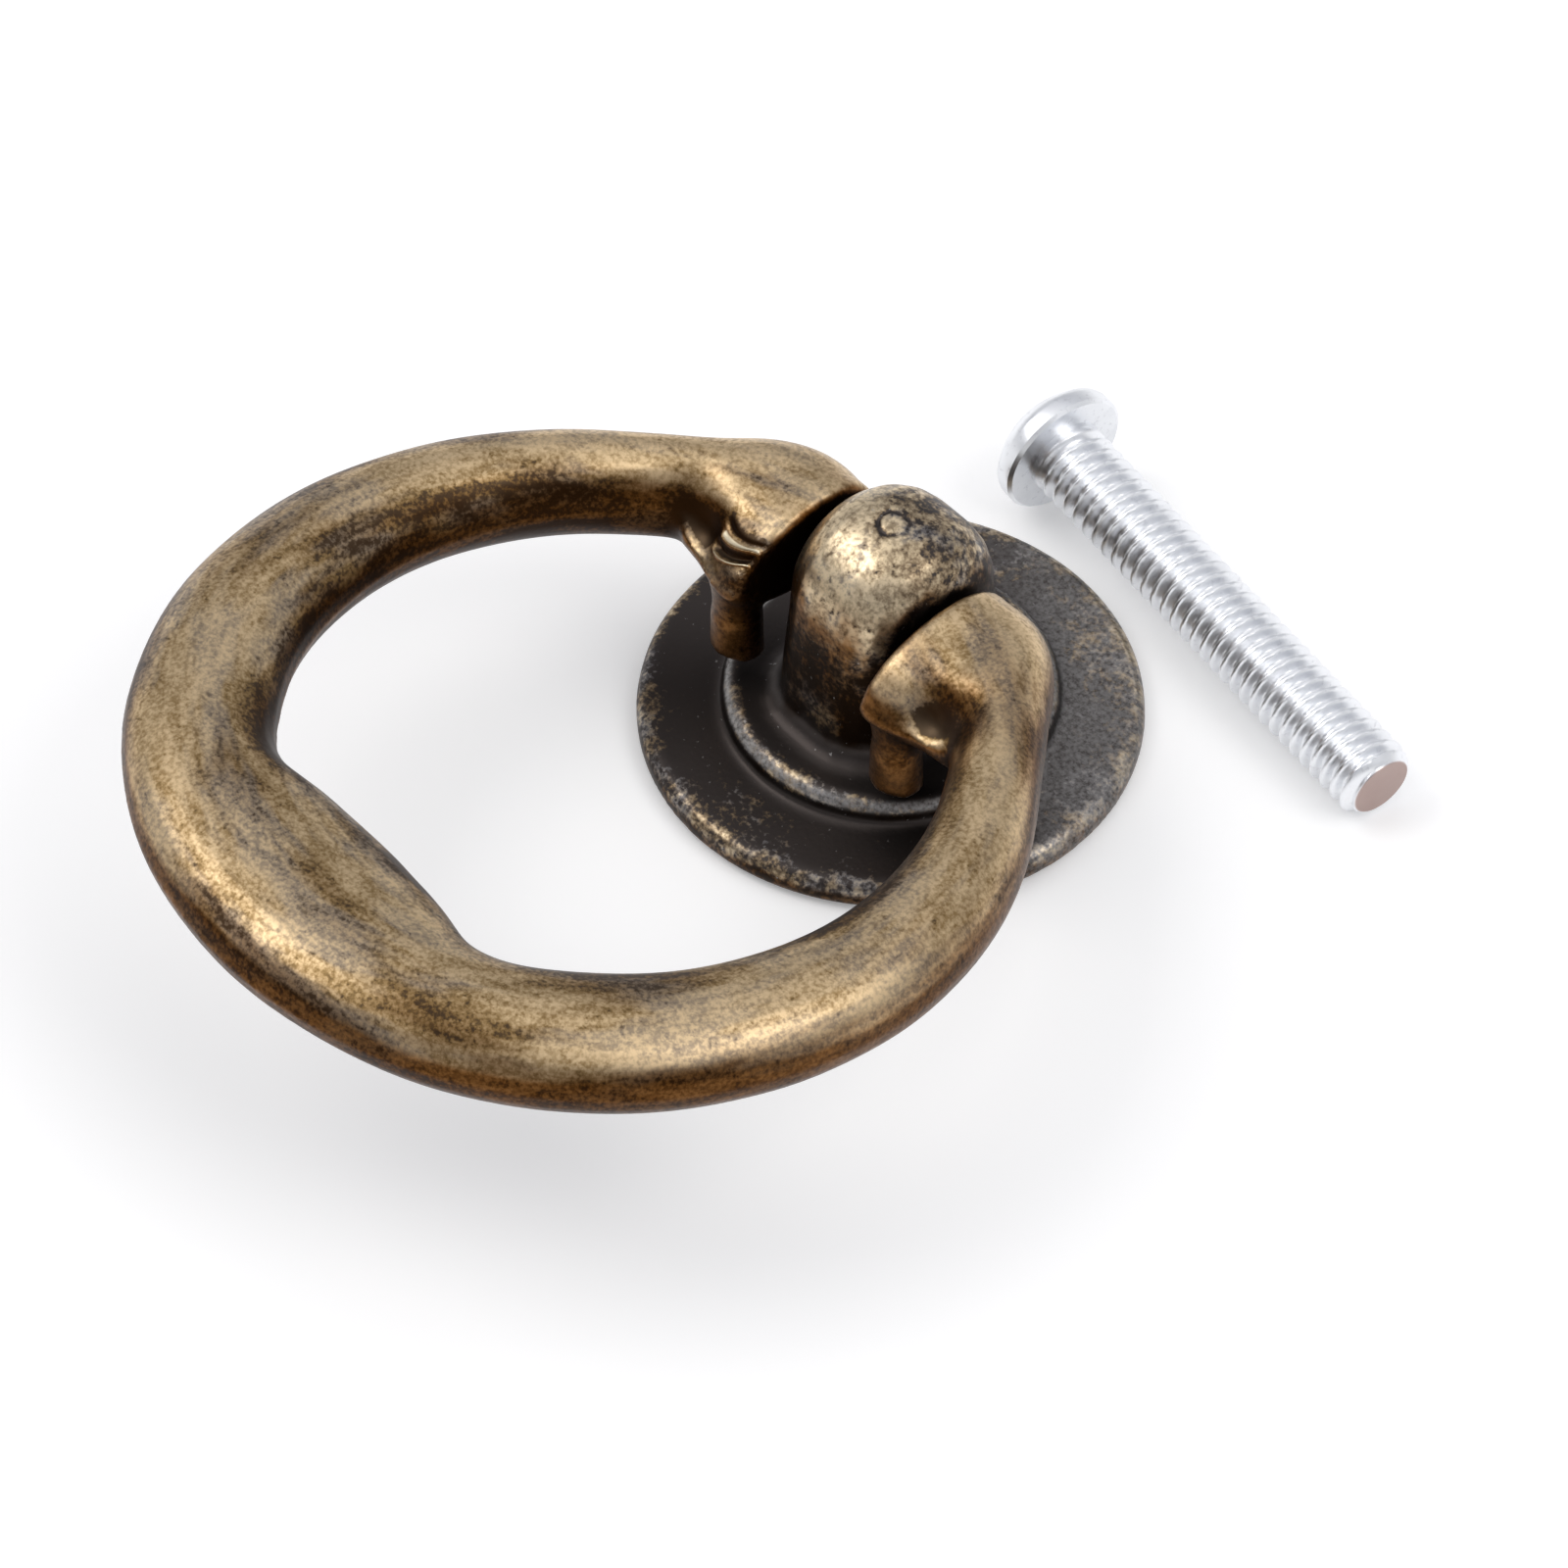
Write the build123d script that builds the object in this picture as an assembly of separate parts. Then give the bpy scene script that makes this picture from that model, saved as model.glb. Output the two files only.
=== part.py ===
from build123d import *

import math
import os
from typing import NamedTuple

# Ring drawer pull in cast brass: a base with a post, a ring that hinges on the post, and its screw.
# Millimetres. The origin is the centre of the base's back face and +Z points out of the drawer front.
# The hinge runs along X. The ring lies towards -Y, held by its tight pivot a little above its stops.

os.makedirs("parts", exist_ok=True)

# Backplate
PLATE_DIAMETER = 25.0
PLATE_THICKNESS = 1.6
PLATE_EDGE_ROUND = 0.75
PLATE_BACK_CHAMFER = 0.4
STEP_DIAMETER = 16.6
STEP_HEIGHT = 1.25
STEP_EDGE_CHAMFER = 0.5

# Post
PIVOT_HEIGHT = 9.6
POST_RADIUS = 4.75
POST_WIDTH = 8.0
POST_FOOT_LENGTH = 10.8
POST_EDGE_ROUND = 3.1
POST_FOOT_ROUND = 1.2
GATE_MARK_DIAMETER = 1.5
GATE_GROOVE_WIDTH = 0.35
GATE_GROOVE_DEPTH = 0.2

# Pivot and stops
STUB_DIAMETER = 3.0
STUB_LENGTH = 2.6
STUB_CLEARANCE = 0.05
STUB_END_CLEARANCE = 0.4
LOBE_CLEARANCE = 0.4
RAISED_TILT = 6.9
STOP_TURN = 15.0
PEG_DIAMETER = 2.8
PEG_TOP_DIAMETER = 2.5
PEG_CLEARANCE = 0.1

# Ring
RING_DIAMETER = 43.2
RING_BEHIND_HINGE = 1.7
RING_TOP = 2.7
RING_BOTTOM = 2.7
ARM_WIDTH = 7.3
GRIP_ANGLE = 32.0
GRIP_BULGE = 3.0
GRIP_SHIFT = -2.6

# Lobes of the ring
FLANK_ANGLE = 131.6
NECK_ANGLE = 146.0
NECK_WIDTH = 4.0
LOBE_REAR = 3.1
LOBE_TOP = 2.9
LOBE_BOTTOM = 2.7
LOBE_EDGE_ROUND = 0.35
BEAK_REACH = 6.35
BEAK_DROP = 1.05
NECK_DROP = 0.35

# Screw and its tapped hole
SCREW_DIAMETER = 4.17
SCREW_LENGTH = 25.4
SCREW_TIP_CHAMFER = 0.5
HEAD_DIAMETER = 7.0
HEAD_HEIGHT = 2.6
HEAD_RIM = 1.0
RECESS_WIDTH = 1.0
RECESS_SPAN = 4.0
RECESS_DEPTH = 1.5
SCREW_PLACE = (-4.75, 16.0)
SCREW_HEADING = -5.5
TAP_DRILL_DIAMETER = 3.45
TAP_DEPTH = 7.0

# Handle length that makes a cubic curve follow a quarter of an ellipse
ROUND_HANDLE = 0.5523

# Rounds are drawn with this many short straight sides, which keeps the surfaces light
SECTION_SIDES = 6
ROUND_SIDES = 4
CORNER_SIDES = 5

step_top = PLATE_THICKNESS + STEP_HEIGHT
plate_radius = PLATE_DIAMETER / 2
ring_radius = RING_DIAMETER / 2
ring_centre = RING_BEHIND_HINGE - ring_radius
lobe_face = POST_WIDTH / 2 + LOBE_CLEARANCE

RESTING = (Align.CENTER, Align.CENTER, Align.MIN)
HANGING = (Align.CENTER, Align.CENTER, Align.MAX)


class Station(NamedTuple):
    """One cross-section of the ring, across it from its inner edge to its outer edge."""

    outer: tuple
    inner: tuple
    top: float
    bottom: float
    crown: float = 0.0
    scoop: float = 0.0
    drop: float = 0.0


def section_wire(station):
    """Four curves that meet at the inner edge, the crown, the outer edge and the keel."""
    inner = Vector(*station.inner, 0)
    across = Vector(*station.outer, 0) - inner

    def at(share, height):
        return inner + across * share + Vector(0, 0, height)

    crown = 0.5 + station.crown / 2
    top = station.top
    bottom = -station.bottom
    edge = -station.drop
    handle = ROUND_HANDLE
    scoop_run = 0.45 * crown * station.scoop
    scoop_rise = handle * top * (1 - station.scoop) + 0.15 * top * station.scoop
    inner_top = Bezier(
        at(0, edge),
        at(scoop_run, edge + scoop_rise),
        at(crown * (1 - handle), top),
        at(crown, top),
    )
    outer_top = Bezier(
        at(crown, top),
        at(crown + handle * (1 - crown), top),
        at(1, handle * top),
        at(1, 0),
    )
    outer_bottom = Bezier(
        at(1, 0),
        at(1, handle * bottom),
        at(0.5 + handle / 2, bottom),
        at(0.5, bottom),
    )
    inner_bottom = Bezier(
        at(0.5, bottom),
        at(0.5 - handle / 2, bottom),
        at(0, edge + handle * (bottom - edge)),
        at(0, edge),
    )
    curves = (inner_top, outer_top, outer_bottom, inner_bottom)
    corners = [curve @ (side / SECTION_SIDES) for curve in curves for side in range(SECTION_SIDES)]
    return Wire.make_polygon(corners, close=True)


def polar(radius, angle):
    """A plan point of the ring, its angle measured from the middle of the grip."""
    turn = math.radians(angle)
    return (radius * math.sin(turn), ring_centre - radius * math.cos(turn))


def arm_inner_radius(angle):
    """The arm narrows from the grip to the neck."""
    share = (angle - GRIP_ANGLE) / (NECK_ANGLE - GRIP_ANGLE)
    return ring_radius - ARM_WIDTH + (ARM_WIDTH - NECK_WIDTH) * share**2


def grip_stations():
    """The grip: its inner edge is nearly straight, and it sits a little to the left of the middle."""
    corner_x, corner_y = polar(arm_inner_radius(GRIP_ANGLE), GRIP_ANGLE)
    plain_y = ring_centre - arm_inner_radius(GRIP_ANGLE)
    stations = []
    for share in (-0.9, -0.68, -0.35, 0.0, 0.35, 0.68, 0.9):
        inner_y = plain_y + GRIP_BULGE + (corner_y - plain_y - GRIP_BULGE) * share**2
        inner_radius = math.hypot(corner_x * share, inner_y - ring_centre)
        inner_angle = math.degrees(math.atan2(corner_x * share, ring_centre - inner_y))
        outer = polar(ring_radius, GRIP_SHIFT + GRIP_ANGLE * share)
        inner = polar(inner_radius, GRIP_SHIFT + inner_angle)
        stations.append(Station(outer, inner, RING_TOP, RING_BOTTOM))
    return stations


def arm_stations(grip_end):
    """The right arm, from beside the grip to where the flank leaves the circle."""
    stations = []
    for share in (0.05, 0.14, 0.28, 0.43, 0.57, 0.72, 0.86, 1.0):
        angle = grip_end + (FLANK_ANGLE - grip_end) * share
        inner = polar(arm_inner_radius(angle), angle)
        stations.append(Station(polar(ring_radius, angle), inner, RING_TOP, RING_BOTTOM))
    return stations


def lobe_stations():
    """The right lobe, from the neck to the flat face beside the post."""
    flank_x, flank_y = polar(ring_radius, FLANK_ANGLE)
    slope = math.tan(math.radians(FLANK_ANGLE - 90))
    corner_x = flank_x - (LOBE_REAR - flank_y) * slope
    neck_x, neck_y = polar(arm_inner_radius(NECK_ANGLE), NECK_ANGLE)
    peg_out = lobe_face + PEG_DIAMETER

    def flank(share):
        """A point on the straight flank, from the lobe's rear corner to the ring's circle."""
        return (corner_x + (flank_x - corner_x) * share, LOBE_REAR + (flank_y - LOBE_REAR) * share)

    def ridge(share):
        """A point on the ridge that runs from the beak to the neck."""
        return (peg_out + (neck_x - peg_out) * share, -0.94 * BEAK_REACH * (1 - share) + neck_y * share)

    arm = (RING_TOP, RING_BOTTOM)
    lobe = (LOBE_TOP, LOBE_BOTTOM)
    rear_x = lobe_face + 0.75 * (corner_x - lobe_face)
    beak_x = lobe_face + PEG_DIAMETER / 2
    return [
        Station(flank(0.82), polar(arm_inner_radius(138), 138), *arm, 0.0, 0.0, 0.5 * NECK_DROP),
        Station(flank(0.62), (neck_x, neck_y), *arm, 0.0, 0.3, NECK_DROP),
        Station(flank(0.38), ridge(0.75), *arm, 0.1, 0.75, NECK_DROP),
        Station(flank(0.17), ridge(0.4), *lobe, 0.2, 0.9, 0.8 * NECK_DROP + 0.2 * BEAK_DROP),
        Station((rear_x, 0.96 * LOBE_REAR), ridge(0), *lobe, 0.3, 0.5, 0.4 * NECK_DROP + 0.6 * BEAK_DROP),
        Station((beak_x, LOBE_REAR), (beak_x, -BEAK_REACH), *lobe, 0.3, 0.1, BEAK_DROP),
        lobe_end(0),
    ]


def lobe_end(turn):
    """A cross-section at the lobe's end, where the edge of the flat face is rounded off."""
    inset = LOBE_EDGE_ROUND * (1 - math.cos(math.radians(turn)))
    x = lobe_face + LOBE_EDGE_ROUND * (1 - math.sin(math.radians(turn)))
    outer = (x, LOBE_REAR - inset)
    inner = (x, -BEAK_REACH + inset)
    return Station(outer, inner, LOBE_TOP - inset, LOBE_BOTTOM - inset, 0.3, 0.0, 0.85 * BEAK_DROP)


def mirrored(station):
    """The same cross-section on the left half of the ring."""
    outer_x, outer_y = station.outer
    inner_x, inner_y = station.inner
    return station._replace(outer=(-outer_x, outer_y), inner=(-inner_x, inner_y))


def make_peg(side):
    """A stop peg under the beak, cut so that it lands flat on the step when the ring is right down."""
    peg_x = side * (lobe_face + PEG_DIAMETER / 2)
    peg_y = -BEAK_REACH + PEG_DIAMETER / 2
    peg = Pos(peg_x, peg_y, 0) * Cone(PEG_DIAMETER / 2, PEG_TOP_DIAMETER / 2, PIVOT_HEIGHT, align=RESTING)
    hinge = Pos(0, 0, PIVOT_HEIGHT)
    floor = Box(PLATE_DIAMETER, PLATE_DIAMETER, PIVOT_HEIGHT, align=HANGING)
    landing = Pos(0, 0, step_top + PEG_CLEARANCE - PIVOT_HEIGHT) * floor
    return peg - hinge * Rot(X=-STOP_TURN) * landing


def make_ring():
    """The ring, modelled flat about the hinge, then tipped up as it is held by its tight pivot."""
    right = arm_stations(GRIP_ANGLE + GRIP_SHIFT) + lobe_stations()
    left = arm_stations(GRIP_ANGLE - GRIP_SHIFT) + lobe_stations()
    stations = [mirrored(station) for station in reversed(left)] + grip_stations() + right
    body = Solid.make_loft([section_wire(station) for station in stations])
    ends = [lobe_end(turn) for turn in (0, 45, 90)]
    body += Solid.make_loft([section_wire(station) for station in ends], ruled=True)
    body += Solid.make_loft([section_wire(mirrored(station)) for station in ends], ruled=True)
    raised = Pos(0, 0, PIVOT_HEIGHT) * Rot(X=-RAISED_TILT)
    ring = raised * body
    for side in (-1, 1):
        stub = Cylinder(STUB_DIAMETER / 2, 2 * STUB_LENGTH, rotation=(0, 90, 0))
        ring += make_peg(side)
        ring += raised * Pos(side * lobe_face, 0, 0) * stub
    return ring


def make_plate():
    """The round backplate with its rounded rim, and the raised step on it."""
    outline = [(0, 0), (plate_radius - PLATE_BACK_CHAMFER, 0), (plate_radius, PLATE_BACK_CHAMFER)]
    for side in range(ROUND_SIDES + 1):
        turn = math.radians(90 * side / ROUND_SIDES)
        rim_x = plate_radius - PLATE_EDGE_ROUND * (1 - math.cos(turn))
        rim_z = PLATE_THICKNESS - PLATE_EDGE_ROUND * (1 - math.sin(turn))
        outline.append((rim_x, rim_z))
    step_radius = STEP_DIAMETER / 2
    outline.append((step_radius, PLATE_THICKNESS))
    outline.append((step_radius, step_top - STEP_EDGE_CHAMFER))
    outline.append((step_radius - STEP_EDGE_CHAMFER, step_top))
    outline.append((0, step_top))
    return revolve(Plane.XZ * make_face(Polyline(*outline, close=True)), Axis.Z)


def post_outline(grow, length):
    """The post in plan: a rectangle with rounded corners, grown all round by the flare of its foot."""
    corner = POST_EDGE_ROUND + grow
    half_x = POST_WIDTH / 2 - POST_EDGE_ROUND
    half_y = length / 2 - POST_EDGE_ROUND
    points = []
    for quarter, (side_x, side_y) in enumerate(((1, 1), (-1, 1), (-1, -1), (1, -1))):
        for side in range(CORNER_SIDES + 1):
            turn = math.radians(90 * (quarter + side / CORNER_SIDES))
            points.append((side_x * half_x + corner * math.cos(turn), side_y * half_y + corner * math.sin(turn)))
    return points


def make_post():
    """A dome turned about the hinge, on a leg that flares out where it meets the step."""
    outline = post_outline(0, 2 * POST_RADIUS)
    half_outline = outline[: len(outline) // 2]
    half_width = POST_WIDTH / 2
    half = make_face(Polyline((half_width, 0), *half_outline, (-half_width, 0), close=True))
    hinge = Axis((0, 0, PIVOT_HEIGHT), (1, 0, 0))
    dome = revolve(Pos(0, 0, PIVOT_HEIGHT) * half, hinge, 180)

    def level(points, height):
        return Wire.make_polygon([(x, y, height) for x, y in points], close=True)

    levels = [level(outline, PIVOT_HEIGHT)]
    for side in range(ROUND_SIDES + 1):
        turn = math.radians(90 * side / ROUND_SIDES)
        grow = POST_FOOT_ROUND * (1 - math.cos(turn))
        height = step_top + POST_FOOT_ROUND * (1 - math.sin(turn))
        levels.append(level(post_outline(grow, POST_FOOT_LENGTH), height))
    levels.append(level(post_outline(POST_FOOT_ROUND, POST_FOOT_LENGTH), PLATE_THICKNESS))
    return dome + Solid.make_loft(levels, ruled=True)


def make_base():
    """Backplate and post in one casting, then the pivot holes, the tapped hole and the gate mark."""
    base = make_plate() + make_post()

    stub_bore = STUB_DIAMETER / 2 + STUB_CLEARANCE
    bore_depth = STUB_LENGTH - LOBE_CLEARANCE + STUB_END_CLEARANCE
    for side in (-1, 1):
        bore = Cylinder(stub_bore, 2 * bore_depth, rotation=(0, 90, 0))
        base -= Pos(side * POST_WIDTH / 2, 0, PIVOT_HEIGHT) * bore

    base -= Cylinder(TAP_DRILL_DIAMETER / 2, TAP_DEPTH, align=RESTING)

    mark_radius = GATE_MARK_DIAMETER / 2
    groove = Cylinder(mark_radius + GATE_GROOVE_WIDTH, POST_RADIUS, align=RESTING)
    groove -= Cylinder(mark_radius, POST_RADIUS, align=RESTING)
    base -= Pos(0, 0, PIVOT_HEIGHT + POST_RADIUS - GATE_GROOVE_DEPTH) * groove
    return base


def make_screw():
    """Pan-head machine screw with a cross recess, lying on its head's edge and its tip."""
    head_radius = HEAD_DIAMETER / 2
    shank = Cylinder(SCREW_DIAMETER / 2, SCREW_LENGTH, align=HANGING)
    shank = chamfer(shank.edges().filter_by(GeomType.CIRCLE).sort_by(Axis.Z)[0], SCREW_TIP_CHAMFER)
    crown = HEAD_HEIGHT - HEAD_RIM
    ball_radius = (head_radius**2 + crown**2) / (2 * crown)
    outline = [(0, 0), (head_radius, 0)]
    for side in range(ROUND_SIDES + 1):
        radius = head_radius * (1 - side / ROUND_SIDES)
        fall = ball_radius - math.sqrt(ball_radius**2 - radius**2)
        outline.append((radius, HEAD_HEIGHT - fall))
    head = revolve(Plane.XZ * make_face(Polyline(*outline, close=True)), Axis.Z)
    slot = Box(RECESS_SPAN, RECESS_WIDTH, 2 * RECESS_DEPTH)
    slot = chamfer(slot.edges().filter_by(Axis.Y).group_by(Axis.Z)[0], RECESS_DEPTH)
    recess = Pos(0, 0, HEAD_HEIGHT) * (slot + Rot(Z=90) * slot)
    screw = shank + head - recess
    sink = math.atan2(head_radius - SCREW_DIAMETER / 2, SCREW_LENGTH - SCREW_TIP_CHAMFER)
    place = Pos(*SCREW_PLACE, head_radius * math.cos(sink))
    return place * Rot(Z=SCREW_HEADING) * Rot(Y=math.degrees(sink) - 90) * screw


export_step(make_base(), "parts/base.step")
export_step(make_ring(), "parts/ring.step")
export_step(make_screw(), "parts/mounting_screw.step")
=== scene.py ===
# %% [markdown]
# # A ring drawer pull in aged brass
# The real object is two rough castings and a screw. A base with a domed post holds an open ring that
# hinges on two short stubs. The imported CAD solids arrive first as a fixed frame. The castings are made
# over copies of their solids, and the screw is built again to its solid's main sizes, with a thread.

# %% Load the frame
import math

import bmesh
import bpy
import numpy as np
from mathutils import Matrix, Vector, noise
from mathutils.bvhtree import BVHTree
from mathutils.kdtree import KDTree


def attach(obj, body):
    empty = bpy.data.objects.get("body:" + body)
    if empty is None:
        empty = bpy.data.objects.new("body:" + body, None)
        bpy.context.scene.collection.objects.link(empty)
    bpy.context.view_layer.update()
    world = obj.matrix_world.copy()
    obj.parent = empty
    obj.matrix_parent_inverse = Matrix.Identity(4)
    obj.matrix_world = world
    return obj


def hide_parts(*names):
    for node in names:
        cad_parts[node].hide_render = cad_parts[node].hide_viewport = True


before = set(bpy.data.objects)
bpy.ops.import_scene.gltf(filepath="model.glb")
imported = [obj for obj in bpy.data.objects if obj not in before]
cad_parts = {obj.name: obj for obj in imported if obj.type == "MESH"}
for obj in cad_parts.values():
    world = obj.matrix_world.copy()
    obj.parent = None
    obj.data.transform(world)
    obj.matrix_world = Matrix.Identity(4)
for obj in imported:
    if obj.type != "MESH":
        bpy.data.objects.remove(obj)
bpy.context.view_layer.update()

scene = bpy.context.scene
MM = 0.001

# %% [markdown]
# ## Camera
# The photograph looks down at about fifty degrees with a long lens, so the round plate reads as an
# ellipse with little perspective. The camera is placed by an azimuth, an elevation and a distance,
# then slid sideways until the plate's middle falls where the photograph has it.

# %% Camera
CAMERA_AZIMUTH = 48.4
CAMERA_ELEVATION = 49.95
CAMERA_DISTANCE = 400 * MM
CAMERA_SLIDE = (-5.244 * MM, -3.367 * MM)
CAMERA_LENS = 186.6
CAMERA_SENSOR = 36


def direction(azimuth, elevation):
    """A unit vector towards a place on the sky, by its angles in degrees."""
    turn = math.radians(azimuth)
    rise = math.radians(elevation)
    return Vector((math.sin(turn) * math.cos(rise), -math.cos(turn) * math.cos(rise), math.sin(rise)))


towards_camera = direction(CAMERA_AZIMUTH, CAMERA_ELEVATION)
camera_right = Vector((math.cos(math.radians(CAMERA_AZIMUTH)), math.sin(math.radians(CAMERA_AZIMUTH)), 0))
camera_up = towards_camera.cross(camera_right)
camera_data = bpy.data.cameras.new("photo_camera")
camera_data.lens = CAMERA_LENS
camera_data.sensor_width = CAMERA_SENSOR
camera_data.clip_start = 0.01
camera_data.clip_end = 20
camera = bpy.data.objects.new("photo_camera", camera_data)
camera.rotation_mode = "QUATERNION"
camera.rotation_quaternion = (-towards_camera).to_track_quat("-Z", "Y")
slide = camera_right * CAMERA_SLIDE[0] + camera_up * CAMERA_SLIDE[1]
camera.location = slide + towards_camera * CAMERA_DISTANCE
scene.collection.objects.link(camera)
scene.camera = camera
print("camera at", [round(x, 3) for x in camera.location])

# %% [markdown]
# ## Studio
# Metal shows what surrounds it. The sky here is pale near the horizon, dim and cool halfway up, and
# bright overhead, so a round casting picks up clear bands of light. It is a little dimmer behind the
# camera. Two large soft lamps, one on each side, lay the long highlights along the ring. The floor glows
# a little for the camera and for reflections, so it reads as white and still shows the shadow.


# %% Node helpers
def add_node(tree, kind, inputs=None, **settings):
    """A node with its settings and input values. An input may be a value or another node's socket."""
    node = tree.nodes.new(kind)
    for name, value in settings.items():
        setattr(node, name, value)
    for key, value in (inputs or {}).items():
        socket = node.inputs[key]
        if isinstance(value, bpy.types.NodeSocket):
            tree.links.new(value, socket)
        else:
            socket.default_value = value
    return node


def math_node(tree, operation, first, second=0.0, third=0.0, clamp=False):
    """One Math node, and its output."""
    inputs = {0: first, 1: second, 2: third}
    return add_node(tree, "ShaderNodeMath", inputs, operation=operation, use_clamp=clamp).outputs[0]


def ramp(tree, value, low, high, to_low=0.0, to_high=1.0):
    """A value stretched smoothly from one range to another."""
    inputs = {"Value": value, "From Min": low, "From Max": high, "To Min": to_low, "To Max": to_high}
    node = add_node(tree, "ShaderNodeMapRange", inputs, interpolation_type="SMOOTHSTEP")
    return node.outputs["Result"]


def mix_colour(tree, share, first, second, blend="MIX"):
    """Two colours mixed by a share."""
    inputs = {0: share, 6: first, 7: second}
    return add_node(tree, "ShaderNodeMix", inputs, data_type="RGBA", blend_type=blend).outputs[2]


def clouds(tree, vector, scale):
    """Cloudy noise of a given scale, from 0 to 1."""
    inputs = {"Vector": vector, "Scale": scale, "Detail": 4.0}
    return add_node(tree, "ShaderNodeTexNoise", inputs).outputs["Fac"]


def stored(tree, name):
    """The node that reads one of the measures stored on a mesh."""
    return add_node(tree, "ShaderNodeAttribute", attribute_name=name)


# %% Sky
SKY_BANDS = (
    (0.0, (0.86, 0.86, 0.86, 1)),
    (0.16, (0.78, 0.78, 0.79, 1)),
    (0.32, (0.5, 0.51, 0.54, 1)),
    (0.6, (0.55, 0.56, 0.6, 1)),
    (0.84, (0.92, 0.92, 0.95, 1)),
    (1.0, (1.0, 1.0, 1.0, 1)),
)
DIM_ELEVATION = 48
DIM_SPAN = (0.72, 0.97)
DIM_SHARE = 0.85

world = bpy.data.worlds.new("studio_sky")
scene.world = world
world.use_nodes = True
sky = world.node_tree
sky.nodes.clear()
sky_place = add_node(sky, "ShaderNodeTexCoord").outputs["Generated"]
sky_rise = add_node(sky, "ShaderNodeSeparateXYZ", {0: sky_place}).outputs["Z"]
sky_bands = add_node(sky, "ShaderNodeValToRGB", {"Fac": sky_rise})
bands = sky_bands.color_ramp.elements
while len(bands) < len(SKY_BANDS):
    bands.new(0.5)
for band, (height, colour) in zip(bands, SKY_BANDS):
    band.position = height
    band.color = colour
dim_side = direction(CAMERA_AZIMUTH, DIM_ELEVATION)
facing = add_node(sky, "ShaderNodeVectorMath", {0: sky_place, 1: dim_side}, operation="DOT_PRODUCT")
sky_strength = ramp(sky, facing.outputs["Value"], *DIM_SPAN, 1.0, DIM_SHARE)
sky_light = add_node(sky, "ShaderNodeBackground", {"Color": sky_bands.outputs[0], "Strength": sky_strength})
add_node(sky, "ShaderNodeOutputWorld", {"Surface": sky_light.outputs[0]})
print("sky bands", len(bands))

# %% Lamps and floor
FLOOR_COLOUR = (0.88, 0.88, 0.88, 1)
FLOOR_GLOW = 0.22
FLOOR_SIZE = 3.0
FLOOR_DROP = 0.02 * MM
LAMP_DISTANCE = 0.8
LAMP_SIZE = 0.44
LAMP_COLOUR = (1.0, 0.98, 0.95)


def add_lamp(name, azimuth, elevation, radiance):
    """A square soft lamp that faces the object. Its brightness is given as radiance."""
    data = bpy.data.lights.new(name, "AREA")
    data.shape = "SQUARE"
    data.size = LAMP_SIZE
    data.energy = radiance * math.pi * LAMP_SIZE * LAMP_SIZE
    data.color = LAMP_COLOUR
    lamp = bpy.data.objects.new(name, data)
    away = direction(azimuth, elevation)
    lamp.location = away * LAMP_DISTANCE
    lamp.rotation_mode = "QUATERNION"
    lamp.rotation_quaternion = (-away).to_track_quat("-Z", "Y")
    scene.collection.objects.link(lamp)


add_lamp("right_window", azimuth=110, elevation=50, radiance=2.0)
add_lamp("left_window", azimuth=-54, elevation=49, radiance=2.4)

floor_mesh = bpy.data.meshes.new("floor")
half = FLOOR_SIZE / 2
floor_corners = [(-half, -half, 0), (half, -half, 0), (half, half, 0), (-half, half, 0)]
floor_mesh.from_pydata(floor_corners, [], [(0, 1, 2, 3)])
floor = bpy.data.objects.new("floor", floor_mesh)
floor.location.z = -FLOOR_DROP
scene.collection.objects.link(floor)
floor_paint = bpy.data.materials.new("floor_paint")
floor_paint.use_nodes = True
tree = floor_paint.node_tree
tree.nodes.clear()
paint = add_node(tree, "ShaderNodeBsdfDiffuse", {"Color": FLOOR_COLOUR})
rays = add_node(tree, "ShaderNodeLightPath")
seen = math_node(tree, "MAXIMUM", rays.outputs["Is Camera Ray"], rays.outputs["Is Glossy Ray"])
seen = math_node(tree, "MAXIMUM", seen, rays.outputs["Is Transmission Ray"])
glow = add_node(tree, "ShaderNodeEmission", {"Strength": math_node(tree, "MULTIPLY", seen, FLOOR_GLOW)})
both = add_node(tree, "ShaderNodeAddShader", {0: paint.outputs[0], 1: glow.outputs[0]})
add_node(tree, "ShaderNodeOutputMaterial", {"Surface": both.outputs[0]})
floor_mesh.materials.append(floor_paint)
scene.view_settings.view_transform = "Standard"
print("studio ready")

# %% [markdown]
# ## From solids to castings
# A die casting has no crisp edges: metal flows, and tumbling rounds it further. The CAD solids are
# drawn with short straight sides. A voxel remesh turns each of them into one even skin, and a few rounds
# of smoothing melt the sides and the corners into soft cast forms, with hardly any change in size.


# %% Casting helpers
WELD = 0.002


def cad_copy(node_name, to_frame):
    """A merged copy of a CAD node's mesh in millimetres, moved into the frame it is worked in."""
    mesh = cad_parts[node_name].data.copy()
    mesh.transform(to_frame @ Matrix.Scale(1 / MM, 4))
    work = bmesh.new()
    work.from_mesh(mesh)
    bmesh.ops.remove_doubles(work, verts=work.verts, dist=WELD)
    work.to_mesh(mesh)
    work.free()
    mesh.materials.clear()
    return mesh


def evaluated(mesh, name, set_up):
    """The mesh after the modifiers that set_up adds to an object, as a plain mesh."""
    thing = bpy.data.objects.new(name, mesh)
    scene.collection.objects.link(thing)
    set_up(thing)
    graph = bpy.context.evaluated_depsgraph_get()
    made = bpy.data.meshes.new_from_object(thing.evaluated_get(graph))
    bpy.data.objects.remove(thing)
    made.name = name
    return made


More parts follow.
